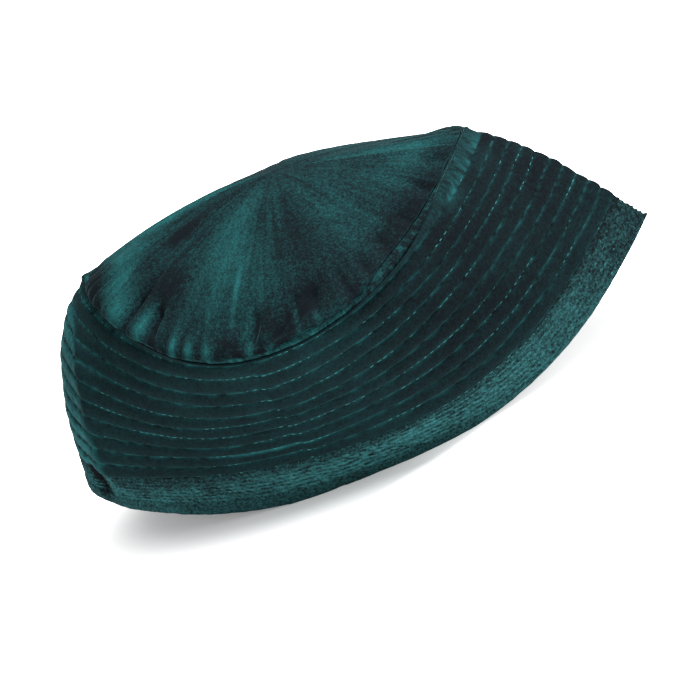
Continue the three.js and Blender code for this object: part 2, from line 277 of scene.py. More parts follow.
def skin(name, rings, nap, materials):
    """A closed mesh through rings of points. The rings past the last row of nap are the inside, which
    has no nap and has the second material."""
    inner_from = len(nap)
    nap = np.concatenate([nap, np.zeros((len(rings) - inner_from, AROUND))])
    rings, nap = (np.concatenate([table, table[:1]]) for table in (rings, nap))
    rings, nap = (np.concatenate([table, table[:, :1]], axis=1) for table in (rings, nap))
    rows, columns = rings.shape[0] - 1, rings.shape[1] - 1
    bm = bmesh.new()
    bmesh.ops.create_grid(bm, x_segments=columns, y_segments=rows, size=0.5)
    nap_layer = bm.verts.layers.float.new("nap")
    for face in bm.faces:
        row = min(round((vertex.co.y + 0.5) * rows) for vertex in face.verts)
        face.material_index = 1 if row >= inner_from else 0
        face.smooth = True
    for vertex in bm.verts:
        column, row = round((vertex.co.x + 0.5) * columns), round((vertex.co.y + 0.5) * rows)
        vertex.co = (rings[row, column] + SHIFT) * MM
        vertex[nap_layer] = nap[row, column]
    bmesh.ops.remove_doubles(bm, verts=bm.verts, dist=MERGED_WITHIN * MM)
    bmesh.ops.delete(bm, geom=[edge for edge in bm.edges if not edge.link_faces], context="EDGES")
    if bm.calc_volume(signed=True) < 0:
        bmesh.ops.reverse_faces(bm, faces=bm.faces)
    open_edges = sum(1 for edge in bm.edges if len(edge.link_faces) != 2)
    mesh = bpy.data.meshes.new(name)
    bm.to_mesh(mesh)
    bm.free()
    for material in materials:
        mesh.materials.append(material)
    area = sum(face.area for face in mesh.polygons)
    print(name, len(mesh.polygons), "faces,", open_edges, "open edges,", round(area / 2, 5), "m2 a side")
    return new_object(name, mesh)


def cloth_noise(turn, down, long, deep, seed, around=None):
    """Unevenness from -1 to 1, with bumps long mm round the rim, or a ring of that length, and deep mm
    down."""
    turn, down = np.broadcast_arrays(turn, down)
    radius = (around or RIM_ROUND) / (2 * np.pi * long)
    places = np.stack([np.cos(2 * np.pi * turn) * radius, np.sin(2 * np.pi * turn) * radius,
                       down / deep + SEED_STEP * seed], axis=-1)
    values = [noise.noise(place) for place in places.reshape(-1, 3).tolist()]
    return np.array(values).reshape(turn.shape)


print(AROUND, "points round, one every", round(RIM_ROUND / AROUND, 2), "mm at the rim")

# %% [markdown]
# Velvet looks dark where it is seen along its pile and bright where the light or the eye grazes it.
# Sheen in the Principled shader is made for that: it scatters light from fibres that stand on the
# cloth. The dyed colour under it is nearly black teal, and varies where the pile has been brushed and
# where shade and highlights are painted into it.
# Colours are written as sRGB hex, as a colour picker shows them, and one function makes them linear.


# %% Colours and nodes
def linear(hex_colour, alpha=1.0):
    channels = [int(hex_colour[i:i + 2], 16) / 255 for i in (1, 3, 5)]
    return (*[c / 12.92 if c <= 0.04045 else ((c + 0.055) / 1.055) ** 2.4 for c in channels], alpha)


def add(tree, kind, inputs=None, **settings):
    """Adds a node. inputs maps a socket's name or number to a value or to another node's output."""
    node = tree.nodes.new(kind)
    for name, value in settings.items():
        setattr(node, name, value)
    for socket, value in (inputs or {}).items():
        if isinstance(value, bpy.types.NodeSocket):
            tree.links.new(value, node.inputs[socket])
        else:
            node.inputs[socket].default_value = value
    return node


def maths(tree, operation, *values):
    return add(tree, "ShaderNodeMath", dict(enumerate(values)), operation=operation).outputs[0]


def mapped(tree, value, low, high, to_low=0.0, to_high=1.0, **settings):
    """A value whose range from low to high is moved onto the range from to_low to to_high."""
    return add(tree, "ShaderNodeMapRange", {"Value": value, "From Min": low, "From Max": high,
                                            "To Min": to_low, "To Max": to_high}, **settings).outputs[0]


def mixed(tree, share, first, second):
    return add(tree, "ShaderNodeMix", {"Factor": share, 6: linear(first), 7: linear(second)},
               data_type="RGBA").outputs[2]


def texture(tree, place, size, **inputs):
    """Noise with bumps of a size in mm. Further inputs are named after their sockets."""
    inputs.update(Vector=place, Scale=1 / (size * MM))
    return add(tree, "ShaderNodeTexNoise", inputs).outputs["Fac"]


def new_material(name):
    """A material without nodes, its tree, and the place on the object that its patterns are read at."""
    material = bpy.data.materials.new(name)
    material.use_nodes = True
    tree = material.node_tree
    tree.nodes.clear()
    return material, tree, add(tree, "ShaderNodeTexCoord").outputs["Object"]


def principled(tree, inputs):
    shader = add(tree, "ShaderNodeBsdfPrincipled", inputs)
    add(tree, "ShaderNodeOutputMaterial", {"Surface": shader.outputs[0]})


print("#205f60 in linear light", [round(channel, 3) for channel in linear("#205f60")])

# %% [markdown]
# Silk-like polyester velvet has a pile about 1.5 mm long. Three scales show in it: brushed patches some
# 20 mm across, tufts near 1.7 mm, and fibres well under half a millimetre. The fibres are too fine to
# show from here, so they are drawn at 0.8 mm. The tufts and fibres also move the surface, as bump.
# Each velvet is told by its deep colour, its colour where it is brushed, which painted highlights also
# reach, the tint of its sheen, and how much its patches and its grain vary.

# %% Velvet
PATCH_SIZE, TUFT_SIZE, FIBRE_SIZE = 22.0, 1.7, 0.8
PATCH_RANGE, GRAIN_RANGE, TUFT_SHARE = (0.35, 0.7), (0.3, 0.7), 0.5
BUMP_HEIGHT, DARKEST_NAP = 0.25, -0.35


def velvet(name, deep, brushed, sheen, patchiness, grain):
    material, tree, place = new_material(name)
    patches = texture(tree, place, PATCH_SIZE, Detail=2.0, Distortion=0.6)
    tufts = texture(tree, place, TUFT_SIZE, Detail=2.0, Distortion=0.4)
    fibres = texture(tree, place, FIBRE_SIZE, Detail=2.0)
    nap = add(tree, "ShaderNodeAttribute", attribute_name="nap").outputs["Fac"]
    nap = maths(tree, "ADD", mapped(tree, patches, *PATCH_RANGE, 0.0, patchiness), nap)
    tufted = mapped(tree, tufts, *GRAIN_RANGE, -TUFT_SHARE * grain, TUFT_SHARE * grain)
    nap = maths(tree, "ADD", nap, tufted)
    nap = maths(tree, "ADD", nap, mapped(tree, fibres, *GRAIN_RANGE, -grain, grain))
    share = mapped(tree, nap, DARKEST_NAP, 1.0, interpolation_type="SMOOTHSTEP")
    height = maths(tree, "ADD", fibres, tufts)
    bump = add(tree, "ShaderNodeBump", {"Height": height, "Distance": BUMP_HEIGHT * MM, "Strength": 0.7})
    principled(tree, {
        "Base Color": mixed(tree, share, deep, brushed), "Roughness": 0.95, "Specular IOR Level": 0.05,
        "Sheen Weight": 0.5, "Sheen Roughness": 0.25, "Sheen Tint": linear(sheen),
        "Normal": bump.outputs[0]})
    return material


crown_velvet = velvet("crown_velvet", "#080e12", "#205f60", "#3f6c70", 0.1, 0.15)
seam_velvet = velvet("seam_velvet", "#080e12", "#205f60", "#3f6c70", 0.1, 0.16)
band_velvet = velvet("band_velvet", "#070a0e", "#1e5557", "#315559", 0.06, 0.07)
hem_velvet = velvet("hem_velvet", "#0a0f12", "#336b6d", "#496c70", 0.1, 0.22)
print("a velvet has", len(band_velvet.node_tree.nodes), "nodes")

# %% [markdown]
# The back of velvet, seen inside the cap, is a plain close weave in a duller teal. Two waves at right
# angles, one for each set of threads, cross in a small check. Real threads are 0.3 mm apart, and they
# are drawn at 0.6 mm so that they show.

# %% Woven backing
THREAD_SPACING, THREAD_HEIGHT = 0.6, 0.08


def backing_cloth():
    material, tree, place = new_material("woven_backing")
    axes = add(tree, "ShaderNodeSeparateXYZ", {"Vector": place})
    waves = []
    for axis in ("X", "Z"):
        phase = maths(tree, "MULTIPLY", axes.outputs[axis], 2 * math.pi / (THREAD_SPACING * MM))
        waves.append(maths(tree, "SINE", phase))
    weave = maths(tree, "MULTIPLY", *waves)
    colour = mixed(tree, mapped(tree, weave, -1.0, 1.0), "#0a2023", "#12383a")
    bump = add(tree, "ShaderNodeBump", {"Height": weave, "Distance": THREAD_HEIGHT * MM, "Strength": 0.5})
    principled(tree, {"Base Color": colour, "Roughness": 0.85, "Specular IOR Level": 0.25,
                      "Normal": bump.outputs[0]})
    return material


woven_backing = backing_cloth()
print("a thread of the backing every", THREAD_SPACING, "mm")

# %% [markdown]
# The camera stands to the right of the near side, 21 degrees above the floor, and is rolled so that the
# cap, which rests level, runs up to the right across the picture. A long lens keeps its shape calm.
# The point that it looks at is found from where the cap's own middle falls in the picture.

# %% Camera
PICTURE = 700
FOCAL_PIXELS = 2000.0
AZIMUTH, ELEVATION, ROLL = (math.radians(x) for x in (14.7, 21.0, -29.1))
DISTANCE = 781.5
PIVOT, PIVOT_PIXEL = Vector((0, 0, 50.0)), (331.0, 308.5)

back = Vector((math.sin(AZIMUTH) * math.cos(ELEVATION), -math.cos(AZIMUTH) * math.cos(ELEVATION),
               math.sin(ELEVATION)))
level = Vector((math.cos(AZIMUTH), math.sin(AZIMUTH), 0))
upright = back.cross(level)
right = level * math.cos(ROLL) + upright * math.sin(ROLL)
up = upright * math.cos(ROLL) - level * math.sin(ROLL)
across, over = PICTURE / 2 - PIVOT_PIXEL[0], PICTURE / 2 - PIVOT_PIXEL[1]
back_axis = (back * FOCAL_PIXELS - right * across + up * over).normalized()
right_axis = (right - back_axis * right.dot(back_axis)).normalized()
up_axis = back_axis.cross(right_axis)

camera = new_object("camera", bpy.data.cameras.new("camera"))
camera.data.sensor_width = 36.0
camera.data.lens = camera.data.sensor_width * FOCAL_PIXELS / PICTURE
camera.data.clip_end = 20.0
turned = Matrix((right_axis, up_axis, back_axis)).transposed().to_4x4()
camera.matrix_world = Matrix.Translation((PIVOT + back * DISTANCE + Vector(SHIFT)) * MM) @ turned
bpy.context.scene.camera = camera
print("camera at", [round(x, 3) for x in camera.matrix_world.translation], "m, lens",
      round(camera.data.lens, 1), "mm")

# %% [markdown]
# The cap stands on a white sweep with no visible edge. A soft light high above it, to the right and a
# little behind, lights the crown and leaves the near side of the band dark, and the white room fills the
# shadows. The floor also glows, less beside the cap than further out, and less on the left than on the
# right. So it is pure white but for a small soft shadow at the front and the left.

# %% Floor and light
FLOOR_REACH = 6.0
# the floor's glow grows from its first strength to its second: outward, between two multiples of reaches
# in x and y that are close to the rim's, and to the right, between two places in x
DIM_GLOW, FULL_GLOW = 0.18, 0.8
RIM_REACH, RIM_DEPTH, NEAR_RIM, CLEAR_OF_RIM = 0.115, 0.05, 0.93, 1.3
GLOW_FROM, GLOW_TO = -0.01, 0.08
ROOM_STRENGTH = 0.7
KEY_PLACE, KEY_TARGET, KEY_SIZE, KEY_POWER = Vector((0.92, 0.22, 1.5)), Vector((0, 0, 0.05)), 0.7, 80.0


def floor_sheet():
    bm = bmesh.new()
    bmesh.ops.create_grid(bm, x_segments=1, y_segments=1, size=FLOOR_REACH)
    mesh = bpy.data.meshes.new("floor")
    bm.to_mesh(mesh)
    bm.free()
    material, tree, place = new_material("white_paper")
    axes = add(tree, "ShaderNodeSeparateXYZ", {"Vector": place})
    to_right = mapped(tree, axes.outputs["X"], GLOW_FROM, GLOW_TO, DIM_GLOW, FULL_GLOW,
                      interpolation_type="SMOOTHSTEP")
    reach = add(tree, "ShaderNodeVectorMath", {0: place, 1: (1 / RIM_REACH, 1 / RIM_DEPTH, 0.0)},
                operation="MULTIPLY")
    reach = add(tree, "ShaderNodeVectorMath", {0: reach.outputs[0]}, operation="LENGTH")
    outward = mapped(tree, reach.outputs["Value"], NEAR_RIM, CLEAR_OF_RIM, DIM_GLOW, FULL_GLOW,
                     interpolation_type="SMOOTHSTEP")
    principled(tree, {
        "Base Color": linear("#f4f5f6"), "Roughness": 0.8, "Specular IOR Level": 0.1,
        "Emission Color": linear("#ffffff"),
        "Emission Strength": maths(tree, "MAXIMUM", to_right, outward)})
    mesh.materials.append(material)
    return new_object("floor", mesh)


floor_sheet()

key = new_object("key", bpy.data.lights.new("key", "AREA"))
key.data.shape = "DISK"
key.data.size = KEY_SIZE
key.data.energy = KEY_POWER
key.location = KEY_PLACE
key.rotation_euler = (KEY_PLACE - KEY_TARGET).to_track_quat("Z", "Y").to_euler()

world = bpy.data.worlds.new("white_room")
world.use_nodes = True
background = world.node_tree.nodes["Background"]
background.inputs["Color"].default_value = (1.0, 1.0, 1.0, 1.0)
background.inputs["Strength"].default_value = ROOM_STRENGTH
bpy.context.scene.world = world
bpy.context.scene.view_settings.view_transform = "Standard"
print("key light", round((KEY_PLACE - KEY_TARGET).length, 2), "m from the cap")

# %% [markdown]
# Crown and band are sewn face to face and turned, so the seam stands up as a soft roll. Its cloth is
# drawn into small puckers across it by the gathers above it, and the folds pinch it.

# %% Rolled seam
ROLL_SIDES, FOLD_PINCH, PINCH_SPREAD = 14, 0.35, 12
# how far the skin is sunk, how high its puckers and its slack are, and the share gone at the folds
ROLL_SINK, PUCKER_HEIGHT, SLACK_HEIGHT, FOLD_CALM = 0.05, 0.15, 0.3, 0.8
# painted light and shade on the puckers, lighter where they bulge and darker where they dip, and how much
# duller the roll gets between two turns
PUCKER_PAINTED_SHADING, ROLL_DULLER = 0.4, (0.2, 0.26, 0.34)


def fold_nearness(turn):
    return np.cos(2 * np.pi * turn) ** 2


def seam_frame():
    """Middle of the roll, the level direction out of the cap, and the roll's radius at each turn."""
    centre = loop_at(0.0, TURNS, WALL / 2)
    outward = loop_at(0.0, TURNS) - centre
    outward[:, 2] = 0
    return centre, unit(outward), ROLL_RADIUS * (1 - FOLD_PINCH * fold_nearness(TURNS) ** PINCH_SPREAD)


SEAM_CENTRE, SEAM_OUT, SEAM_RADIUS = seam_frame()
SKYWARD = np.array([0.0, 0.0, 1.0])


def beside_roll(angle, radius):
    """Points round the roll's middle, at an angle below level on its outer side."""
    angle = np.reshape(angle, (-1, 1))
    return SEAM_CENTRE + (SEAM_OUT * np.cos(angle) - SKYWARD * np.sin(angle)) * np.reshape(radius, (-1, 1))


def roll_piece():
    rings, naps = [], []
    for side in range(ROLL_SIDES):
        angle = 2 * math.pi * side / ROLL_SIDES
        pucker = cloth_noise(TURNS, angle, long=1.5, deep=2.5, seed=10, around=SEAM_ROUND)
        slack = cloth_noise(TURNS, angle, long=9.0, deep=4.0, seed=11, around=SEAM_ROUND)
        calm = 1 - FOLD_CALM * fold_nearness(TURNS) ** PINCH_SPREAD
        uneven = (PUCKER_HEIGHT * pucker + SLACK_HEIGHT * slack) * calm
        rings.append(beside_roll(angle, SEAM_RADIUS - ROLL_SINK + uneven))
        # painted light and shade: lighter where a pucker bulges out, darker where it dips
        naps.append(PUCKER_PAINTED_SHADING * pucker - later(TURNS, *ROLL_DULLER))
    return skin("rolled_seam", np.array(rings), np.array(naps), (seam_velvet,))


roll = roll_piece()

# %% [markdown]
# The band is two layers of cloth over thin padding, sewn in rows a quarter inch apart. No row is quite
# straight: each one wanders a little, and all of them jump where the strip's two ends are joined. On the
# near side beside the round fold the rows crowd and ride up towards the seam, as in the solids.
# A point's true drop on the wall is its level one and what wander adds to it.

# %% How the sewn rows run
WANDER, WANDERS = 0.55, (2.5, 7.0, 74.0, 80.0)
JOIN_TURN, JOIN_JUMP, JUMP_WIDE, JOIN_REACH = 0.231, 0.55, 0.0015, 0.03
# turns where the rows crowd, the drop where that begins, and the last groove's rise all round and there
CROWDED, ROWS_CROWD_FROM, ROW_RISE, CROWD_RISE = (0.08, 0.18, 0.22, 0.335), 33.0, 0.4, 7.6
# how far the rows ride up elsewhere, between which drops that begins, and a mark where they sag
RIDE_UP, RIDES_UP, SAG = 1.8, (4.0, 24.0), (0.24, 20.0, 0.05, 11.0, 2.2)


def row_shift(drop, turn):
    """How far a level row is moved down the cloth by the way that the rows run."""
    crowded = plateau(turn, *CROWDED)
    down = np.clip((drop - ROWS_CROWD_FROM) / (HEM_TOP - ROWS_CROWD_FROM), 0, 1)
    rise = (ROW_RISE + CROWD_RISE * crowded) * down
    high = RIDE_UP * smooth_step(drop, *RIDES_UP) * (1 - crowded)
    to_rim = np.clip((BAND_DROP - drop) / (BAND_DROP - HEM_TOP), 0, 1)
    return mark(turn, drop, *SAG) - (rise + high) * to_rim


def wander(drop, turn):
    """How far the sewn rows lie from level ones. What they stray fades at the seam and at the rim."""
    stray = WANDER * cloth_noise(turn, drop, long=26.0, deep=6.0, seed=1)
    jump = JOIN_JUMP * np.tanh((turn - JOIN_TURN) / JUMP_WIDE) * bell(turn, JOIN_TURN, JOIN_REACH)
    return row_shift(drop, turn) + (stray + jump) * plateau(drop, *WANDERS)


def sewn_wall(drop, turn, inset):
    return wall(drop + wander(drop, turn), turn, inset)


print("last groove at drops", [round(float(HEM_TOP + wander(HEM_TOP, at)), 1) for at in (0, 0.2, 0.4)])

# %% [markdown]
# Between two rows the padding lifts the velvet into a soft rib, and at each stitch the thread pulls it
# down. A rib's outline is a half sine raised to a low power, which gives a full top and a tight groove.
# The pile is parted and light along the grooves. The crests of the strip between the round fold and the
# old crease have painted sheen, the lower crease a painted highlight, and the pocket painted shade.

# %% Ribs, grooves and pile of the band
GROOVE_DEPTH, FOLD_FLATNESS, FLATNESS_SPREAD, CREST_INSET, RIB_FULLNESS = 0.9, 0.45, 4, 0.1, 0.6
STITCH_SPACING, STITCH_PULL, JOIN_DEPTH, JOIN_WIDE = 3.0, 0.12, 0.5, 0.0016
FINE_PUCKERS, BROAD_PUCKERS, PUCKERS_IN_GROOVE = 0.12, 0.45, 0.25
# a painted highlight along the lower crease, its width in turns and the drops where it shows, then painted
# shade in the pocket
CREASE_PAINTED_HIGHLIGHT, CREASE_HIGHLIGHT_WIDE, CREASE_HIGHLIGHT_DROPS = 0.35, 0.003, (40.0, 54.0, 68.0, 73.0)
POCKET_PAINTED_SHADE = (0.081, 70.5, 0.0065, 6.5, 1.0)
# nap at rest, in a groove and for how many mm beside it, where the cloth is worn, and how much darker it
# gets half way along, with the share of that which is gone low down
REST_NAP, GROOVE_NAP, GROOVE_REACH = -0.12, 0.55, 0.55
WORN, WORN_NOISE = (0.05, 0.25, 0.4), (-0.05, 0.5)
DARKER, LESS_LOW_DOWN, LOW_DOWN = (0.15, 0.24, 0.36), 0.6, (40.0, 70.0)
# the strip's painted sheen on its crests and their fullness, what its grooves lose, its tufts, how much
# more it shows low down, and how it fades, in turns before the crease and past the fold
STRIP_PAINTED_SHEEN, STRIP_FULLNESS, STRIP_LOSS, STRIP_TUFTS = 0.7, 0.7, 0.1, 0.45
STRIP_GAIN, STRIP_GAINS, STRIP_EDGE, STRIP_END = 0.4, (38.0, 58.0), (-0.003, 0.014), (-0.035, 0.0)
# marks that lighten the band: two below the sharp fold's tip are painted light on its facets, and one lies
# along a groove
BAND_PATCHES = ((0.447, 8.0, 0.025, 6.0, 0.12), (0.390, 6.0, 0.014, 3.5, 0.15),
                (0.215, 55.2, 0.025, 0.7, 0.50))


def crease_highlight_and_pocket_shade(drop, turn):
    """A painted highlight along the lower crease and painted shade in the pocket, on the band and on the
    hem.
    """
    level = drop + wander(drop, turn)
    ridge = bell(turn, crease_at(level), CREASE_HIGHLIGHT_WIDE) * plateau(level, *CREASE_HIGHLIGHT_DROPS)
    return CREASE_PAINTED_HIGHLIGHT * ridge - mark(turn, level, *POCKET_PAINTED_SHADE)


def groove_depth(turn):
    """Grooves are shallower at the two folds, where the wall was pressed."""
    return GROOVE_DEPTH * (1 - FOLD_FLATNESS * fold_nearness(turn) ** FLATNESS_SPREAD)


def join_groove(turn):
    return JOIN_DEPTH * bell(turn, JOIN_TURN, JOIN_WIDE)


def rib_inset(drop, turn, along):
    share = (drop - TOP_STRIP) / STITCH_PITCH % 1
    puff = np.sin(np.pi * share) ** RIB_FULLNESS
    pull = STITCH_PULL * (1 - puff) * (0.5 + 0.5 * np.cos(2 * np.pi * along / STITCH_SPACING))
    puckers = (FINE_PUCKERS * cloth_noise(turn, drop, long=2.6, deep=7.0, seed=2)
               + BROAD_PUCKERS * cloth_noise(turn, drop, long=20.0, deep=8.0, seed=3))
    puckers = puckers * (PUCKERS_IN_GROOVE + (1 - PUCKERS_IN_GROOVE) * puff)
    return groove_depth(turn) * (1 - puff) + CREST_INSET * puff + pull + puckers


# Painted sheen on the crests of the ribs between the old crease and the round fold, as if light grazed
# them.
def strip_painted_sheen(drop, turn, share):
    past_fold = turns_apart(turn, 0.0)
    behind = smooth_step(crease_at(drop + wander(drop, turn)) - past_fold, *STRIP_EDGE)
    tufts = STRIP_TUFTS * cloth_noise(turn, drop, long=2.4, deep=1.6, seed=19)
    crests = STRIP_PAINTED_SHEEN * np.sin(np.pi * share) ** STRIP_FULLNESS - STRIP_LOSS + tufts
    gain = 1 + STRIP_GAIN * smooth_step(drop, *STRIP_GAINS)
    return crests * behind * smooth_step(past_fold, *STRIP_END) * gain


def band_nap(drop, turn):
    share = (drop - TOP_STRIP) / STITCH_PITCH % 1
    groove = np.exp(-np.minimum(share, 1 - share) * STITCH_PITCH / GROOVE_REACH)
    flecks = 0.5 + cloth_noise(turn, drop, long=3.2, deep=1.2, seed=4)
    worn = smooth_step(cloth_noise(turn, drop, long=46.0, deep=22.0, seed=5), *WORN_NOISE)
    dark = later(turn, *DARKER) * (1 - LESS_LOW_DOWN * smooth_step(drop, *LOW_DOWN))
    nap = REST_NAP + GROOVE_NAP * groove * flecks - dark + strip_painted_sheen(drop, turn, share)
    nap = nap + sum(mark(turn, drop, *patch) for patch in BAND_PATCHES)
    return nap + worn * later(turn, *WORN) + crease_highlight_and_pocket_shade(drop, turn)


print("groove depth at a fold and at the side", groove_depth(np.array([0.0, 0.25])).round(2))

# %% [markdown]
# The band's outside has a ring at each groove and nine more over each rib. At its top the cloth lies under
# the rolled seam, or wraps it at the round fold and beside the sharp one, where fine creases hatch it.

# %% The band's skin
RIB_ROWS = (0, 0.045, 0.11, 0.21, 0.35, 0.5, 0.65, 0.79, 0.89, 0.955)
# degrees below level round the roll where the cloth lies under it and where it wraps it, and clearance
BAND_TOP = ((72, 72, 0.2), (52, 10, 0.2), (36, -75, 0.2), (36, -82, 0.4), (40, -55, 0.8), (44, -5, 1.0))
WRAPPED, FOLD_WRAP, FOLD_WRAP_WIDE = (0.31, 0.41, 0.5, 0.53), 0.85, 0.035
# the nap of the fine creases' hatch and its lean, then painted light on the band's top by the sharp fold's
# tip, its turn and width
HATCH_NAP, HATCH_LEAN, TIP_PAINTED_LIGHT, TIP_TURN, TIP_WIDE = 0.32, 0.004, 0.1, 0.455, 0.05
INNER_ROWS, INNER_TOP, SEWN_GAP = 8, 0.6, 0.01


def band_piece():
    drops = [TOP_STRIP + (rib + share) * STITCH_PITCH for rib in range(RIB_COUNT) for share in RIB_ROWS]
    drops = np.array([*drops, HEM_TOP - SEWN_GAP])[:, None]
    face = wall(drops, TURNS)
    steps = np.linalg.norm(np.diff(face, axis=1, prepend=face[:, -1:]), axis=-1)
    inset = rib_inset(drops, TURNS, np.cumsum(steps, axis=1)) + join_groove(TURNS)
    outer = sewn_wall(drops, TURNS, inset)
    hatched = plateau(TURNS, *WRAPPED)
    wrapped = hatched + FOLD_WRAP * bell(turns_apart(TURNS, 0.0), 0, FOLD_WRAP_WIDE)
    top = np.array([beside_roll(np.radians(under + (over - under) * wrapped), SEAM_RADIUS + clear)
                    for under, over, clear in BAND_TOP])
    share = np.linspace(0, 1, INNER_ROWS + 1)[:, None]
    inner_drops = (HEM_TOP - SEWN_GAP) * (1 - share) + (SEAM_RADIUS + INNER_TOP) * share
    inner = sewn_wall(inner_drops, TURNS, WALL)
    hatch = np.array([cloth_noise(TURNS + HATCH_LEAN * row, row, long=1.1, deep=6.0, seed=18)
                      for row in range(len(BAND_TOP))])
    top_nap = REST_NAP + TIP_PAINTED_LIGHT * bell(TURNS, TIP_TURN, TIP_WIDE) + HATCH_NAP * hatch * hatched
    nap = np.concatenate([top_nap, band_nap(drops, TURNS)])
    return skin("quilted_band", np.concatenate([top, outer, inner]), nap, (band_velvet, woven_backing))


band = band_piece()

# %% [markdown]
# Below the last groove the cloth is turned up inside and sewn flat with seven close rows of stitches.
# They press the strip, so it is flatter than the ribs, with shallow furrows, and they part the pile,
# which shows as bright flecks. Under the last row the cloth rolls round the edge. The plain edge is wide
# beside the round fold and narrow at the sharp one, so the rows spread there.

# %% Rows and pile of the hem
HEM_ROWS, HEM_FIRST_ROW, HEM_LAST_ROW, HEM_LAST_ROW_RIGHT = 7, HEM_TOP + 1.0, 76.6, 80.2
ROWS_SPREAD = (0.26, 0.36, 0.64, 0.74)
# insets of the pressed strip, its furrows, the first row and the plain edge, and how soon the last ends
PRESSED, FURROW, FIRST_ROW_INSET, EDGE_INSET, EDGE_LONG = 0.45, 0.32, 0.6, 0.75, 1.1
# over how many mm the plain edge begins, and the sewn strip after a drop, more slowly at one place
PLAIN_LONG, RISE_FROM, RISE_LONG, LATE_LONG, LATE_AT = 0.8, HEM_TOP - 0.5, 3, 5, (0.11, 0.07)
# how bright the sewn strip is, where it is brighter, and the turns between which it gets duller, twice
SEWN_NAP, BRIGHTER, BRIGHTER_AT, DULLER = 0.78, 0.14, (0.25, 0.04), ((0.33, 0.27, 0.33), (0.27, 0.37, 0.44))
# how much its flecks, its blotches and its rows vary it, and where the flecks do so more
FLECK_LEVEL, FLECKS, MORE_FLECKS, MORE_AT, BLOTCHES, ROW_LINES = 0.29, 0.65, 0.2, (0.29, 0.08), 0.2, 0.18
RISEN_NAP, PLAIN_NAP, FAR_DARKER = 0.06, 0.12, (0.15, 0.38, 0.46)


def hem_row(row, turn):
    last = HEM_LAST_ROW + (HEM_LAST_ROW_RIGHT - HEM_LAST_ROW) * plateau(turn, *ROWS_SPREAD)
    return HEM_FIRST_ROW + (last - HEM_FIRST_ROW) * row / (HEM_ROWS - 1)


def hem_waves(drop, turn):
    """A wave with its crest at each row."""
    first, last = hem_row(0, turn), hem_row(HEM_ROWS - 1, turn)
    return np.cos(2 * np.pi * ((drop - first) / (last - first) * (HEM_ROWS - 1)))


def hem_inset(drop, turn):
    first, last = hem_row(0, turn), hem_row(HEM_ROWS - 1, turn)
    furrows = PRESSED + FURROW * (0.5 + 0.5 * hem_waves(drop, turn))
    groove = groove_depth(turn)
    lead = groove + (FIRST_ROW_INSET - groove) * (drop - HEM_TOP) / (HEM_FIRST_ROW - HEM_TOP)
    edge = EDGE_INSET * (1 - smooth_step(drop, last, last + EDGE_LONG))
    return np.where(drop < first, lead, np.where(drop < last, furrows, edge))


def hem_nap(drop, turn):
    plain = smooth_step(drop - hem_row(HEM_ROWS - 1, turn), 0, PLAIN_LONG)
    risen_at = HEM_FIRST_ROW + RISE_LONG + LATE_LONG * bell(turn, *LATE_AT)
    risen = smooth_step(drop, RISE_FROM, risen_at)
    dull = sum(later(turn, *stretch) for stretch in DULLER)
    bright = SEWN_NAP + BRIGHTER * bell(turn, *BRIGHTER_AT) - dull
    fleck_strength = FLECKS + MORE_FLECKS * bell(turn, *MORE_AT)
    flecks = (FLECK_LEVEL + fleck_strength * cloth_noise(turn, drop, long=1.3, deep=0.55, seed=6)
              + BLOTCHES * cloth_noise(turn, drop, long=8.0, deep=4.0, seed=7)
              + ROW_LINES * hem_waves(drop, turn))
    nap = REST_NAP + RISEN_NAP * risen + PLAIN_NAP * plain + risen * (1 - plain) * bright * flecks
    return nap - later(turn, *FAR_DARKER) + crease_highlight_and_pocket_shade(drop, turn)


print("hem rows at drops", [round(float(hem_row(row, 0.1)), 1) for row in range(HEM_ROWS)])

# %% [markdown]
# The hem meets the band at the last groove. Its skin goes down the outside, round the edge and back up the
# inside, where the thicker hem narrows to the wall.

# %% The hem's skin
HEM_START, HEM_FACE_END, HEM_ROW_STEP = HEM_TOP + SEWN_GAP, BAND_DROP - 0.7, 0.36
HEM_PUCKERS, HEM_UNEVEN = 0.3, 0.5
# drop and inset of each row round the edge, and of each row up the inside
HEM_EDGE = np.array([(BAND_DROP - 0.6, 0.0), (BAND_DROP - 0.25, 0.25), (BAND_DROP, 0.7), (BAND_DROP, 1.4),
                     (BAND_DROP, 2.2), (BAND_DROP, HEM_WALL - 0.8), (BAND_DROP - 0.3, HEM_WALL - 0.3)])
HEM_INSIDE = np.array([(BAND_DROP - 1, HEM_WALL), (BAND_DROP - 4, HEM_WALL), (HEM_START + 4, HEM_WALL),
                       (HEM_START, WALL)])


def hem_piece():
    drops = np.arange(HEM_START, HEM_FACE_END, HEM_ROW_STEP)[:, None]
    inset = np.concatenate([hem_inset(drops, TURNS), np.repeat(HEM_EDGE[:, 1:], AROUND, axis=1)])
    drops = np.concatenate([drops, HEM_EDGE[:, :1]])
    inset[1:] += (HEM_PUCKERS * cloth_noise(TURNS, drops[1:], long=3.0, deep=3.0, seed=8)
                  + HEM_UNEVEN * cloth_noise(TURNS, drops[1:], long=20, deep=20, seed=9))
    outer = sewn_wall(drops, TURNS, inset + join_groove(TURNS) * (drops < EDGE_DROP))
    inner = sewn_wall(HEM_INSIDE[:, :1], TURNS, HEM_INSIDE[:, 1:])
    return skin("turned_hem", np.concatenate([outer, inner]), hem_nap(drops, TURNS),
                (hem_velvet, woven_backing))


hem = hem_piece()
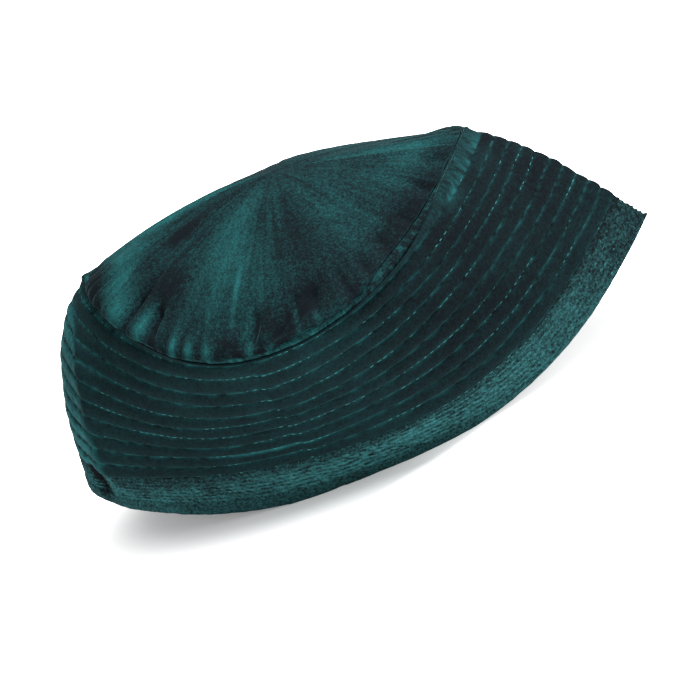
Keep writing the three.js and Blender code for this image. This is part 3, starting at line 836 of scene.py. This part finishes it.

# %% [markdown]
# The crown is a disc wider than the ring that it is sewn to, so its edge is gathered. Most of it is
# smooth, with faint rays from the middle, and the spare cloth sinks into short folds beside the seam.
# On the near side, from the round fold to half way along, the gathers are full and bulge out over the
# seam. Further on the cloth lies flat, the seam stands clear, and a hollow runs along beside it.
# The deep folds have a row each in a table, and so have the marks that lighten or darken the crown, many of
# them painted shade and painted highlights.

# %% Folds and patches of the crown
# turn at the seam, depth in mm, width in turns, share of the way out where the fold begins, and how far
# it leans, in turns for the whole way from the middle
CROWN_FOLDS = (
    (0.052, 0.3, 0.006, 0.80, 0), (0.088, 0.5, 0.005, 0.80, 0), (0.131, 3.8, 0.0032, 0.70, 0.01),
    (0.165, 4.4, 0.004, 0.80, -0.1), (0.176, 1.6, 0.0025, 0.90, 0), (0.189, 1.3, 0.0025, 0.90, 0),
    (0.201, 1.6, 0.0025, 0.90, 0), (0.214, 1.2, 0.0025, 0.92, 0), (0.227, 4.6, 0.004, 0.88, 0.13),
    (0.238, 4.6, 0.0038, 0.88, 0.26), (0.250, 3.2, 0.0055, 0.84, 0.24), (0.273, 1.4, 0.0035, 0.84, 0.02),
    (0.294, 1.6, 0.0035, 0.84, 0), (0.310, 1.4, 0.004, 0.84, 0), (0.330, 1.5, 0.005, 0.80, 0),
    (0.358, 1.4, 0.005, 0.78, 0), (0.395, 1.2, 0.006, 0.75, 0), (0.440, 0.5, 0.006, 0.70, 0),
    (0.475, 0.6, 0.005, 0.65, 0), (0.530, 1.8, 0.007, 0.50, 0), (0.580, 2.4, 0.007, 0.55, 0),
    (0.630, 1.6, 0.007, 0.60, 0), (0.675, 2.2, 0.007, 0.55, 0), (0.720, 1.8, 0.007, 0.65, 0),
    (0.765, 2.4, 0.007, 0.60, 0), (0.810, 1.6, 0.007, 0.50, 0), (0.860, 2.2, 0.007, 0.55, 0),
    (0.910, 2.6, 0.007, 0.50, 0),
)
# marks that lighten or darken the colour, placed by the share of the way out; the dark ones in the
# pockets of the gathers, along the seam and by the round fold are painted shade, and the narrow light
# ones on the gathers' crests are painted highlights
CROWN_LIGHT_AND_SHADE_MARKS = (
    (0.050, 0.83, 0.024, 0.12, 0.68), (0.088, 0.90, 0.018, 0.09, 0.75), (0.115, 0.96, 0.012, 0.06, 0.7),
    (0.150, 0.97, 0.006, 0.07, 0.80), (0.048, 1.00, 0.036, 0.075, -1.3), (0.000, 0.96, 0.030, 0.05, -0.4),
    (0.183, 0.975, 0.0025, 0.032, 0.85), (0.195, 0.975, 0.0026, 0.03, 0.8),
    (0.208, 0.98, 0.0026, 0.028, 0.75), (0.262, 0.945, 0.002, 0.05, 0.6),
    (0.273, 0.97, 0.002, 0.03, 0.60), (0.233, 0.97, 0.003, 0.05, 0.80), (0.245, 0.98, 0.003, 0.03, 0.6),
    (0.205, 0.55, 0.032, 0.30, 0.50), (0.223, 0.75, 0.0022, 0.11, 0.6), (0.350, 0.55, 0.050, 0.24, 0.15),
    (0.105, 0.54, 0.014, 0.08, -0.55), (0.155, 0.80, 0.018, 0.12, -0.35), (0.275, 0.55, 0.024, 0.26, -0.2),
    (0.262, 0.90, 0.026, 0.08, -0.15), (0.335, 0.95, 0.030, 0.06, -0.25), (0.385, 0.94, 0.035, 0.07, -0.2),
    (0.440, 0.93, 0.035, 0.07, -0.10), (0.010, 0.50, 0.030, 0.50, 0.60), (0.490, 0.60, 0.025, 0.40, 0.35),
    (0.450, 0.78, 0.035, 0.13, 0.25), (0.222, 0.96, 0.0045, 0.035, -0.4),
    (0.244, 0.93, 0.0050, 0.045, -0.3),
)
FOLD_POWER, FOLD_FULL_AT = 1.4, 0.97
# where the gathers cover the seam, where a hollow lies beside it, and the hollow's depth, place and width
COVERED, HOLLOWED = (0.0, 0.06, 0.285, 0.345), (0.3, 0.36, 0.42, 0.47)
HOLLOW_DEPTH, HOLLOW_CHANGE, HOLLOW_OUT, HOLLOW_WIDE = 1.8, 1.6, 0.95, 0.045


def fold_depth(turn, out):
    depth = np.zeros(np.broadcast(turn, out).shape)
    for at, deep, width, start, lean in CROWN_FOLDS:
        apart = np.abs(turns_apart(turn, at + lean * (1 - out)))
        depth += deep * np.exp(-((apart / width) ** FOLD_POWER)) * smooth_step(out, start, FOLD_FULL_AT)
    return depth


def covered(turn):
    """1 where the crown's gathers bulge over the seam, 0 where the seam stands clear."""
    return plateau(turn, *COVERED)


def hollow(turn, out):
    uneven = HOLLOW_CHANGE * cloth_noise(turn, 0.0, long=7.0, deep=1.0, seed=12, around=SEAM_ROUND)
    return plateau(turn, *HOLLOWED) * (HOLLOW_DEPTH + uneven) * bell(out, HOLLOW_OUT, HOLLOW_WIDE)


print(len(CROWN_FOLDS), "folds and", len(CROWN_LIGHT_AND_SHADE_MARKS), "brushed patches")

# %% [markdown]
# The fine wrinkles are noise read round a circle, which makes rays, and they grow towards the seam. The
# gathers are such noise folded over at zero, which makes ridges, full where they cover the seam and weak
# beside the round fold.

# %% Wrinkles and pile of the crown
RAY_LONG, RAY_DEEP = 20.0, 14.0
FULLNESS, FULL_FROM = 2.8, (0.45, 0.9)
RAY_HEIGHT, RAYS_GROW, GATHER_HEIGHT, GATHER_LEVEL, GATHERS_GROW = 0.25, (0.05, 0.3), 2.4, 0.3, (0.8, 0.99)
WEAKEST, FLATTENED, FLATTENED_AT = 0.25, 0.65, (0.04, 0.06)
CROWN_NAP, FINE_RAY_NAP, BROAD_RAY_NAP, CROWN_MARK_STRENGTH = -0.16, 0.09, 0.1, 0.6
# painted shade in the folds: how much darker a fold gets for each mm of its depth, and the depth past which
# it gets no darker
FOLD_PAINTED_SHADE, DEEPEST_SHADED_FOLD = 0.08, 4.0


def rays(turn, out, seed, size):
    return cloth_noise(turn, out * RAY_LONG, size, RAY_DEEP, seed, SEAM_ROUND)


def crown_rise(turn, out):
    return FULLNESS * covered(turn) * smooth_step(out, *FULL_FROM)


def crown_wrinkle(turn, out):
    fine = RAY_HEIGHT * rays(turn, out, seed=13, size=7.0) * smooth_step(out, *RAYS_GROW)
    ridges = GATHER_LEVEL - np.abs(rays(turn, out, seed=14, size=4.2))
    gathers = ridges * GATHER_HEIGHT * smooth_step(out, *GATHERS_GROW)
    drawn = (WEAKEST + (1 - WEAKEST) * covered(turn)) * (1 - FLATTENED * bell(turn, *FLATTENED_AT))
    return fine + gathers * drawn - fold_depth(turn, out) - hollow(turn, out)


def crown_nap(turn, out):
    nap = CROWN_NAP + FINE_RAY_NAP * rays(turn, out, seed=15, size=2.0)
    nap = nap + BROAD_RAY_NAP * rays(turn, out, seed=16, size=9.0)
    # painted shade and painted highlights are among these marks
    nap = nap + CROWN_MARK_STRENGTH * sum(mark(turn, out, *patch) for patch in CROWN_LIGHT_AND_SHADE_MARKS)
    # painted shade: the deeper a fold, the darker the crown there
    return nap - FOLD_PAINTED_SHADE * np.minimum(fold_depth(turn, out), DEEPEST_SHADED_FOLD)


print("gathers cover", round(float(covered(TURNS).mean()), 2), "of the seam")

# %% [markdown]
# The skin goes out over the top, round a bulge, in below the roll as a tuck, and back underneath. Where
# the gathers are full, the bulge is a curve that leaves the top smoothly and ends outside the roll, and
# elsewhere it ends just above it. A fold that would cut into the roll is held clear of it, and the tuck
# goes low enough that no light comes through between crown and band.

# %% The crown's skin
CROWN_CENTRE = np.array([6.5, 0.0, 110.6])
LEFT_SWELL, RIGHT_SWELL, SIDE_SWELL = 4.2, 0.0, 6.0
CENTRE_DIMPLE, DIMPLE_REACH = 1.2, 0.16
TOP_ROWS, BULGE_ROWS, TUCK_ROWS, UNDER_ROWS = 66, 26, 12, 14
# share of the way out where the top ends and the underside begins, and how far back the slope is taken
TOP_END, UNDER_END, SLOPE_ROWS = 0.9, 0.97, 3
LIP_THICKNESS, PLAIN_CLEARANCE, FOLD_CLEARANCE = 1.0, 0.3, 0.3
# angles round the roll: of the bulge's end where the seam stands clear, of its end where it is covered and
# how much that varies, and of the tuck's end below level
PLAIN_ANGLE, FULL_ANGLE, FULL_ANGLE_CHANGE, TUCK_ANGLE = (math.radians(x) for x in (25, 166, 26, 65))
# how far the bulge's curve is led by its two ends, and how the wrinkles calm towards its end
FIRST_LEAD, LAST_LEAD, CALM_FULL, CALM_PLAIN, CALM_POWER = 0.5, 0.3, 0.75, 0.95, 5


def crown_piece():
    ray = unit(CROWN_CENTRE - SEAM_CENTRE)
    level = unit(ray * (1, 1, 0))
    slant = np.arcsin(ray[:, 2])
    edge = SEAM_CENTRE + ray * (SEAM_RADIUS + GAP)[:, None]
    ridge_swell = np.where(edge[:, 0] < CROWN_CENTRE[0], LEFT_SWELL, RIGHT_SWELL)
    swell = SIDE_SWELL + (ridge_swell - SIDE_SWELL) * fold_nearness(TURNS)

    def draped(out, over):
        points = CROWN_CENTRE + (edge - CROWN_CENTRE) * out[..., None]
        dimple = CENTRE_DIMPLE * np.exp(-((out / DIMPLE_REACH) ** 2))
        points[..., 2] += swell * 4 * out * (1 - out) - dimple + over + crown_rise(TURNS, out)
        return points

    def away(angle):
        """Direction away from the roll's middle, at an angle above level on its crown side."""
        return level * np.cos(angle)[:, None] + SKYWARD * np.sin(angle)[:, None]

    cover = covered(TURNS)
    full_angle = FULL_ANGLE + FULL_ANGLE_CHANGE * rays(TURNS, 1.0, seed=17, size=5.0)
    last = slant + PLAIN_ANGLE + (full_angle - slant - PLAIN_ANGLE) * cover
    outs = np.linspace(0, TOP_END, TOP_ROWS)[:, None] * np.ones(AROUND)
    top = draped(outs, CROWN_WALL / 2)
    start, lead = top[-1], unit(top[-1] - top[-1 - SLOPE_ROWS])
    clearance = PLAIN_CLEARANCE + (GAP + LIP_THICKNESS - PLAIN_CLEARANCE) * cover
    end = SEAM_CENTRE + away(last) * (SEAM_RADIUS + clearance)[:, None]
    leave = unit(lead * (1 - cover)[:, None] + away(last + np.pi / 2) * cover[:, None])
    size = np.linalg.norm(end - start, axis=1, keepdims=True)
    first_hold, last_hold = start + lead * FIRST_LEAD * size, end - leave * LAST_LEAD * size
    top += SKYWARD * crown_wrinkle(TURNS, outs)[..., None]
    bulge = []
    for s in np.linspace(0, 1, BULGE_ROWS + 1)[1:]:
        point = (start * (1 - s) ** 3 + first_hold * 3 * s * (1 - s) ** 2
                 + last_hold * 3 * s * s * (1 - s) + end * s ** 3)
        from_roll = point - SEAM_CENTRE
        raised = unit(SKYWARD * (1 - s) + unit(from_roll) * s)
        strength = 1 - (CALM_FULL * cover + CALM_PLAIN * (1 - cover)) * s ** CALM_POWER
        toward = (from_roll * raised).sum(axis=1)
        room = toward ** 2 - (from_roll ** 2).sum(axis=1) + (SEAM_RADIUS + GAP + FOLD_CLEARANCE) ** 2
        lowest = np.where(room > 0, np.sqrt(np.maximum(room, 0)) - toward, -np.inf)
        wrinkle = crown_wrinkle(TURNS, TOP_END + (1 - TOP_END) * s) * strength
        bulge.append(point + raised * np.maximum(wrinkle, lowest)[:, None])
    tuck = [SEAM_CENTRE + away(last + (slant - TUCK_ANGLE - last) * share) * (SEAM_RADIUS + GAP)[:, None]
            for share in np.linspace(0, 1, TUCK_ROWS)]
    under_outs = np.linspace(UNDER_END, 0, UNDER_ROWS)[:, None] * np.ones(AROUND)
    under = draped(under_outs, -CROWN_WALL / 2)
    under += SKYWARD * (crown_wrinkle(TURNS, under_outs) - crown_rise(TURNS, under_outs))[..., None]
    bulge_outs = np.linspace(TOP_END, 1, BULGE_ROWS)[:, None]
    nap = np.concatenate([crown_nap(TURNS, outs), crown_nap(TURNS, bulge_outs)])
    rings = np.concatenate([top, np.array(bulge), np.array(tuck), under])
    return skin("gathered_crown", rings, nap, (crown_velvet, woven_backing))


crown = crown_piece()

# %% [markdown]
# The sewing thread is shiny polyester, a shade lighter than the velvet. One stitch is a small round bead,
# one unit each way, which is copied along each row and stretched into a bar there.

# %% Thread
STRAND_SIZE, STRAND_HEIGHT = 0.25, 0.05


def polyester_thread():
    material, tree, place = new_material("polyester_thread")
    strands = texture(tree, place, STRAND_SIZE)
    bump = add(tree, "ShaderNodeBump", {"Height": strands, "Distance": STRAND_HEIGHT * MM})
    principled(tree, {"Base Color": mixed(tree, strands, "#1d5759", "#3b8686"), "Roughness": 0.6,
                      "Specular IOR Level": 0.2, "Normal": bump.outputs[0]})
    return material


def base_stitch():
    bm = bmesh.new()
    bmesh.ops.create_uvsphere(bm, u_segments=6, v_segments=4, radius=0.5)
    bmesh.ops.rotate(bm, verts=bm.verts, matrix=Matrix.Rotation(math.pi / 2, 3, "Y"))
    corners = np.array([vertex.co[:] for vertex in bm.verts])
    faces = [[vertex.index for vertex in face.verts] for face in bm.faces]
    bm.free()
    return corners, faces


thread = polyester_thread()
STITCH_CORNERS, STITCH_FACES = base_stitch()
print(thread.name, "and a stitch of", len(STITCH_FACES), "faces")

# %% [markdown]
# Stitches lie along the rows, sunk a little into the pile. No two show alike, because the pile hides more
# of one than of the next, so place, length and depth are drawn from seeded chance. Some stretches of a
# row are hidden deeper, and so are those beside the round fold and from three quarters along on.

# %% Rows of stitches
FINE_TURNS = np.linspace(0, 1, 2401)
# chance changes a stitch's place along and across the row, its length and its depth
ALONG, ASIDE, LENGTHS, DEPTHS = 0.12, 0.12, (0.55, 1.1), (-0.05, 0.2)
STRETCH_LONG, STRETCH_DEPTH, STRETCH_SEED, STRETCH_NOISE = 30.0, 0.25, 40, (-0.2, 0.4)
LEFT_DEPTH, LEFT_TURNS, LATER_DEPTH = 0.12, (0.1, 0.24), (0.1, 0.36, 0.42)
STITCH_FLATNESS, HEM_STITCH_INSET, LATER_INSET = 0.8, 0.78, (0.14, 0.3, 0.4)


def stitch_row(row_drop, row_inset, spacing, length, width, seed):
    """Corners of every stitch in one row, in millimetres. Its drop and its inset depend on the turn."""
    def drop_at(turn):
        drop = row_drop(turn)
        return drop + wander(drop, turn)

    chance = np.random.default_rng(seed)
    lengths = lengths_along(wall(drop_at(FINE_TURNS), FINE_TURNS, row_inset(FINE_TURNS)))
    count = int(lengths[-1] / spacing)
    middles = (np.arange(count) + 0.5 + chance.uniform(-ALONG, ALONG, count)) * lengths[-1] / count
    halves = length / 2 * chance.uniform(*LENGTHS, count)
    stretches = cloth_noise(middles / lengths[-1], 0.0, STRETCH_LONG, 1.0, STRETCH_SEED + seed)
    turns = np.interp(middles, lengths, FINE_TURNS)
    hidden = STRETCH_DEPTH * smooth_step(stretches, *STRETCH_NOISE)
    hidden += LEFT_DEPTH * (1 - smooth_step(turns, *LEFT_TURNS)) + later(turns, *LATER_DEPTH)
    sunk = row_inset(turns) + chance.uniform(*DEPTHS, count) + hidden
    aside = chance.uniform(-ASIDE, ASIDE, count)
    first, last = (np.interp(middles + side * halves, lengths, FINE_TURNS) for side in (-1, 1))
    start, end = (wall(drop_at(turn) + aside, turn, sunk) for turn in (first, last))
    middle, turn = (start + end) / 2, (first + last) / 2
    out = wall(drop_at(turn) + aside, turn, sunk - 1.0) - middle
    size = np.linalg.norm(end - start, axis=1, keepdims=True)
    along = (end - start) / size
    out = unit(out - along * (out * along).sum(axis=1, keepdims=True))
    side = np.cross(out, along)
    return (middle[:, None] + (STITCH_CORNERS[None, :, :1] * size[:, None]) * along[:, None]
            + STITCH_CORNERS[None, :, 1:2] * width * side[:, None]
            + STITCH_CORNERS[None, :, 2:] * width * STITCH_FLATNESS * out[:, None])


def stitch_piece(name, rows):
    corners = np.concatenate(rows)
    count = len(STITCH_CORNERS)
    faces = [[i + k * count for i in face] for k in range(len(corners)) for face in STITCH_FACES]
    mesh = bpy.data.meshes.new(name)
    mesh.from_pydata(((corners.reshape(-1, 3) + SHIFT) * MM).tolist(), [], faces)
    mesh.shade_smooth()
    mesh.materials.append(thread)
    print(name, len(corners), "stitches")
    return new_object(name, mesh)


def hem_stitch_inset(turn):
    return HEM_STITCH_INSET + later(turn, *LATER_INSET)


band_stitches = stitch_piece("band_stitches", [
    stitch_row(lambda turn, rib=rib: TOP_STRIP + rib * STITCH_PITCH + 0 * turn, groove_depth,
               spacing=STITCH_SPACING, length=1.9, width=0.4, seed=rib) for rib in range(RIB_COUNT + 1)])
hem_stitches = stitch_piece("hem_stitches", [
    stitch_row(lambda turn, row=row: hem_row(row, turn), hem_stitch_inset,
               spacing=2.4, length=1.5, width=0.32, seed=20 + row) for row in range(HEM_ROWS)])

# %% [markdown]
# Last, each piece is tied to the body of the cap and takes the place of its solid.

# %% Tie the pieces to the frame
for piece, node, slot in ((crown, "crown", "crown_velvet"), (roll, "crown_seam", "seam_velvet"),
                          (band, "band", "band_velvet"), (hem, "hem", "hem_velvet")):
    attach(piece, "root")
    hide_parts(node)
for piece, slot in ((band_stitches, "band_velvet"), (hem_stitches, "hem_velvet")):
    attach(piece, "root")
